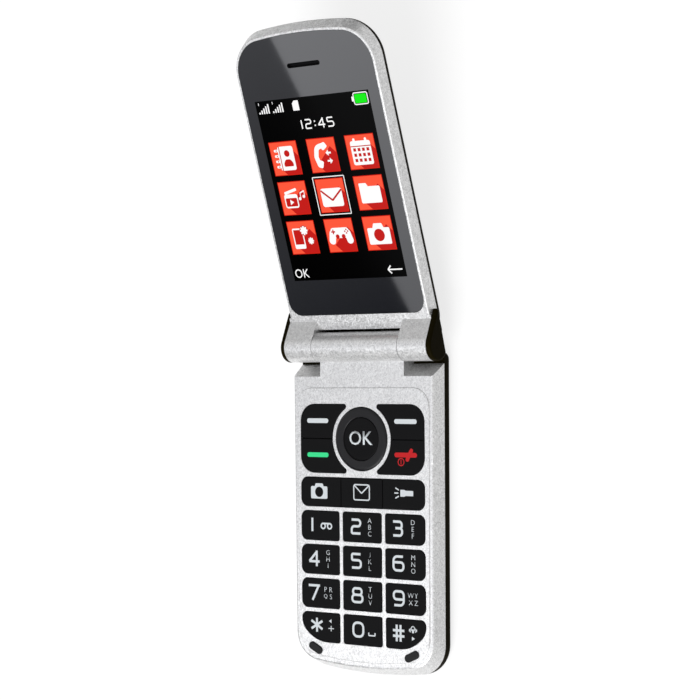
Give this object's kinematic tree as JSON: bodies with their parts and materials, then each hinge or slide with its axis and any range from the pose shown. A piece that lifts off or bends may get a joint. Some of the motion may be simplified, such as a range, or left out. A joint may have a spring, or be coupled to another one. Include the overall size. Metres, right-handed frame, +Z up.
{
  "type": "flip phone",
  "caption": "Clamshell mobile phone lying open: a keypad base and a hinged lid with a display behind a dark window.",
  "frame": {"origin": "the middle of the base's flat back, on the surface that the open phone lies on", "axes": "+X to the right of the keypad, +Y from the keypad's bottom end to the hinge, +Z up out of the keypad"},
  "size_m": [0.0576, 0.1989, 0.041],
  "materials": {
    "silver_paint": "moulded ABS with fine metallic silver paint, satin lacquer",
    "black_cover": "moulded ABS, very dark brown-black, fine matt texture",
    "keycap": "moulded polycarbonate, satin black, printed legends",
    "ring_gloss": "moulded polycarbonate, semi-gloss charcoal",
    "window": "dark printed acrylic, polished",
    "display": "glass display, black when off",
    "rubber_pad": "black rubber",
    "silicone": "translucent silicone sheet",
    "circuit_board": "glass-fibre board with green solder mask",
    "film": "clear polyester film with snap domes",
    "polyimide": "amber polyimide ribbon with copper tracks",
    "steel": "stainless steel sheet and turned steel",
    "magnet": "nickel-plated magnet",
    "contact_block": "black liquid-crystal polymer with gold-plated blades",
    "battery_can": "aluminium can in a black printed film",
    "clear_window": "mineral glass",
    "torch": "pale yellow LED under clear epoxy"
  },
  "bodies": {
    "base": {"base_front_shell": "silver_paint", "base_rear_shell": "black_cover", "battery_pack": "battery_can", "battery_contacts": "contact_block", "main_board": "circuit_board", "dome_sheet": "film", "keypad_mat": "silicone", "processor_shield": "steel", "radio_shield": "steel", "sim_holder": "steel", "loudspeaker": "contact_block", "vibration_motor": "steel", "microphone": "steel", "usb_socket": "steel", "headset_jack": "contact_block", "antenna": "contact_block", "base_bumpers": "rubber_pad", "case_screws": "steel", "hinge_cartridge": "steel", "flex_tail": "polyimide", "volume_switch": "contact_block"},
    "lid": {"lid_front_frame": "silver_paint", "lid_rear_cover": "black_cover", "lid_lens": "window", "lcd_module": "display", "display_bracket": "steel", "earpiece_speaker": "contact_block", "earpiece_mesh": "steel", "lid_board": "circuit_board", "camera_module": "contact_block", "camera_window": "clear_window", "torch_led": "torch", "lid_magnet": "magnet", "lid_screws": "steel", "hinge_cam_shaft": "steel", "hinge_pin": "steel", "display_flex": "polyimide"},
    "battery_cover": {"battery_cover": "black_cover"},
    "volume_key": {"volume_key": "silver_paint"},
    "nav_ring": {"nav_ring": "ring_gloss"},
    "soft_left_key": {"soft_left_key": "keycap"},
    "soft_right_key": {"soft_right_key": "keycap"},
    "call_key": {"call_key": "keycap"},
    "end_key": {"end_key": "keycap"},
    "camera_key": {"camera_key": "keycap"},
    "message_key": {"message_key": "keycap"},
    "torch_key": {"torch_key": "keycap"},
    "key_1": {"key_1": "keycap"},
    "key_2": {"key_2": "keycap"},
    "key_3": {"key_3": "keycap"},
    "key_4": {"key_4": "keycap"},
    "key_5": {"key_5": "keycap"},
    "key_6": {"key_6": "keycap"},
    "key_7": {"key_7": "keycap"},
    "key_8": {"key_8": "keycap"},
    "key_9": {"key_9": "keycap"},
    "key_star": {"key_star": "keycap"},
    "key_0": {"key_0": "keycap"},
    "key_hash": {"key_hash": "keycap"},
    "ok_key": {"ok_key": "keycap"}
  },
  "joints": [
    {"name": "lid_hinge", "type": "hinge", "parent": "base", "child": "lid", "pos_m": [0, 0.04845, 0.0093], "axis": [1, 0, 0], "range_deg": [0, 160.6]},
    {"name": "battery_cover_slide", "type": "slide", "parent": "base", "child": "battery_cover", "axis": [0, -1, 0], "range_m": [0, 0.056]},
    {"name": "volume_press", "type": "slide", "parent": "base", "child": "volume_key", "axis": [1, 0, 0], "range_m": [0, 0.0003], "stiffness_N_per_m": 2000},
    {"name": "nav_rock", "type": "hinge", "parent": "base", "child": "nav_ring", "pos_m": [0, 0.01988, 0.00855], "axis": [1, 0, 0], "range_deg": [-2, 2], "stiffness_Nm_per_rad": 0.4},
    {"name": "soft_left_press", "type": "slide", "parent": "base", "child": "soft_left_key", "axis": [0, 0, -1], "range_m": [0, 0.00035], "stiffness_N_per_m": 2000},
    {"name": "soft_right_press", "type": "slide", "parent": "base", "child": "soft_right_key", "axis": [0, 0, -1], "range_m": [0, 0.00035], "stiffness_N_per_m": 2000},
    {"name": "call_press", "type": "slide", "parent": "base", "child": "call_key", "axis": [0, 0, -1], "range_m": [0, 0.00035], "stiffness_N_per_m": 2000},
    {"name": "end_press", "type": "slide", "parent": "base", "child": "end_key", "axis": [0, 0, -1], "range_m": [0, 0.00035], "stiffness_N_per_m": 2000},
    {"name": "camera_press", "type": "slide", "parent": "base", "child": "camera_key", "axis": [0, 0, -1], "range_m": [0, 0.00035], "stiffness_N_per_m": 2000},
    {"name": "message_press", "type": "slide", "parent": "base", "child": "message_key", "axis": [0, 0, -1], "range_m": [0, 0.00035], "stiffness_N_per_m": 2000},
    {"name": "torch_press", "type": "slide", "parent": "base", "child": "torch_key", "axis": [0, 0, -1], "range_m": [0, 0.00035], "stiffness_N_per_m": 2000},
    {"name": "key_1_press", "type": "slide", "parent": "base", "child": "key_1", "axis": [0, 0, -1], "range_m": [0, 0.00035], "stiffness_N_per_m": 2000},
    {"name": "key_2_press", "type": "slide", "parent": "base", "child": "key_2", "axis": [0, 0, -1], "range_m": [0, 0.00035], "stiffness_N_per_m": 2000},
    {"name": "key_3_press", "type": "slide", "parent": "base", "child": "key_3", "axis": [0, 0, -1], "range_m": [0, 0.00035], "stiffness_N_per_m": 2000},
    {"name": "key_4_press", "type": "slide", "parent": "base", "child": "key_4", "axis": [0, 0, -1], "range_m": [0, 0.00035], "stiffness_N_per_m": 2000},
    {"name": "key_5_press", "type": "slide", "parent": "base", "child": "key_5", "axis": [0, 0, -1], "range_m": [0, 0.00035], "stiffness_N_per_m": 2000},
    {"name": "key_6_press", "type": "slide", "parent": "base", "child": "key_6", "axis": [0, 0, -1], "range_m": [0, 0.00035], "stiffness_N_per_m": 2000},
    {"name": "key_7_press", "type": "slide", "parent": "base", "child": "key_7", "axis": [0, 0, -1], "range_m": [0, 0.00035], "stiffness_N_per_m": 2000},
    {"name": "key_8_press", "type": "slide", "parent": "base", "child": "key_8", "axis": [0, 0, -1], "range_m": [0, 0.00035], "stiffness_N_per_m": 2000},
    {"name": "key_9_press", "type": "slide", "parent": "base", "child": "key_9", "axis": [0, 0, -1], "range_m": [0, 0.00035], "stiffness_N_per_m": 2000},
    {"name": "key_star_press", "type": "slide", "parent": "base", "child": "key_star", "axis": [0, 0, -1], "range_m": [0, 0.00035], "stiffness_N_per_m": 2000},
    {"name": "key_0_press", "type": "slide", "parent": "base", "child": "key_0", "axis": [0, 0, -1], "range_m": [0, 0.00035], "stiffness_N_per_m": 2000},
    {"name": "key_hash_press", "type": "slide", "parent": "base", "child": "key_hash", "axis": [0, 0, -1], "range_m": [0, 0.00035], "stiffness_N_per_m": 2000},
    {"name": "ok_press", "type": "slide", "parent": "base", "child": "ok_key", "axis": [0, 0, -1], "range_m": [0, 0.00035], "stiffness_N_per_m": 2000}
  ]
}
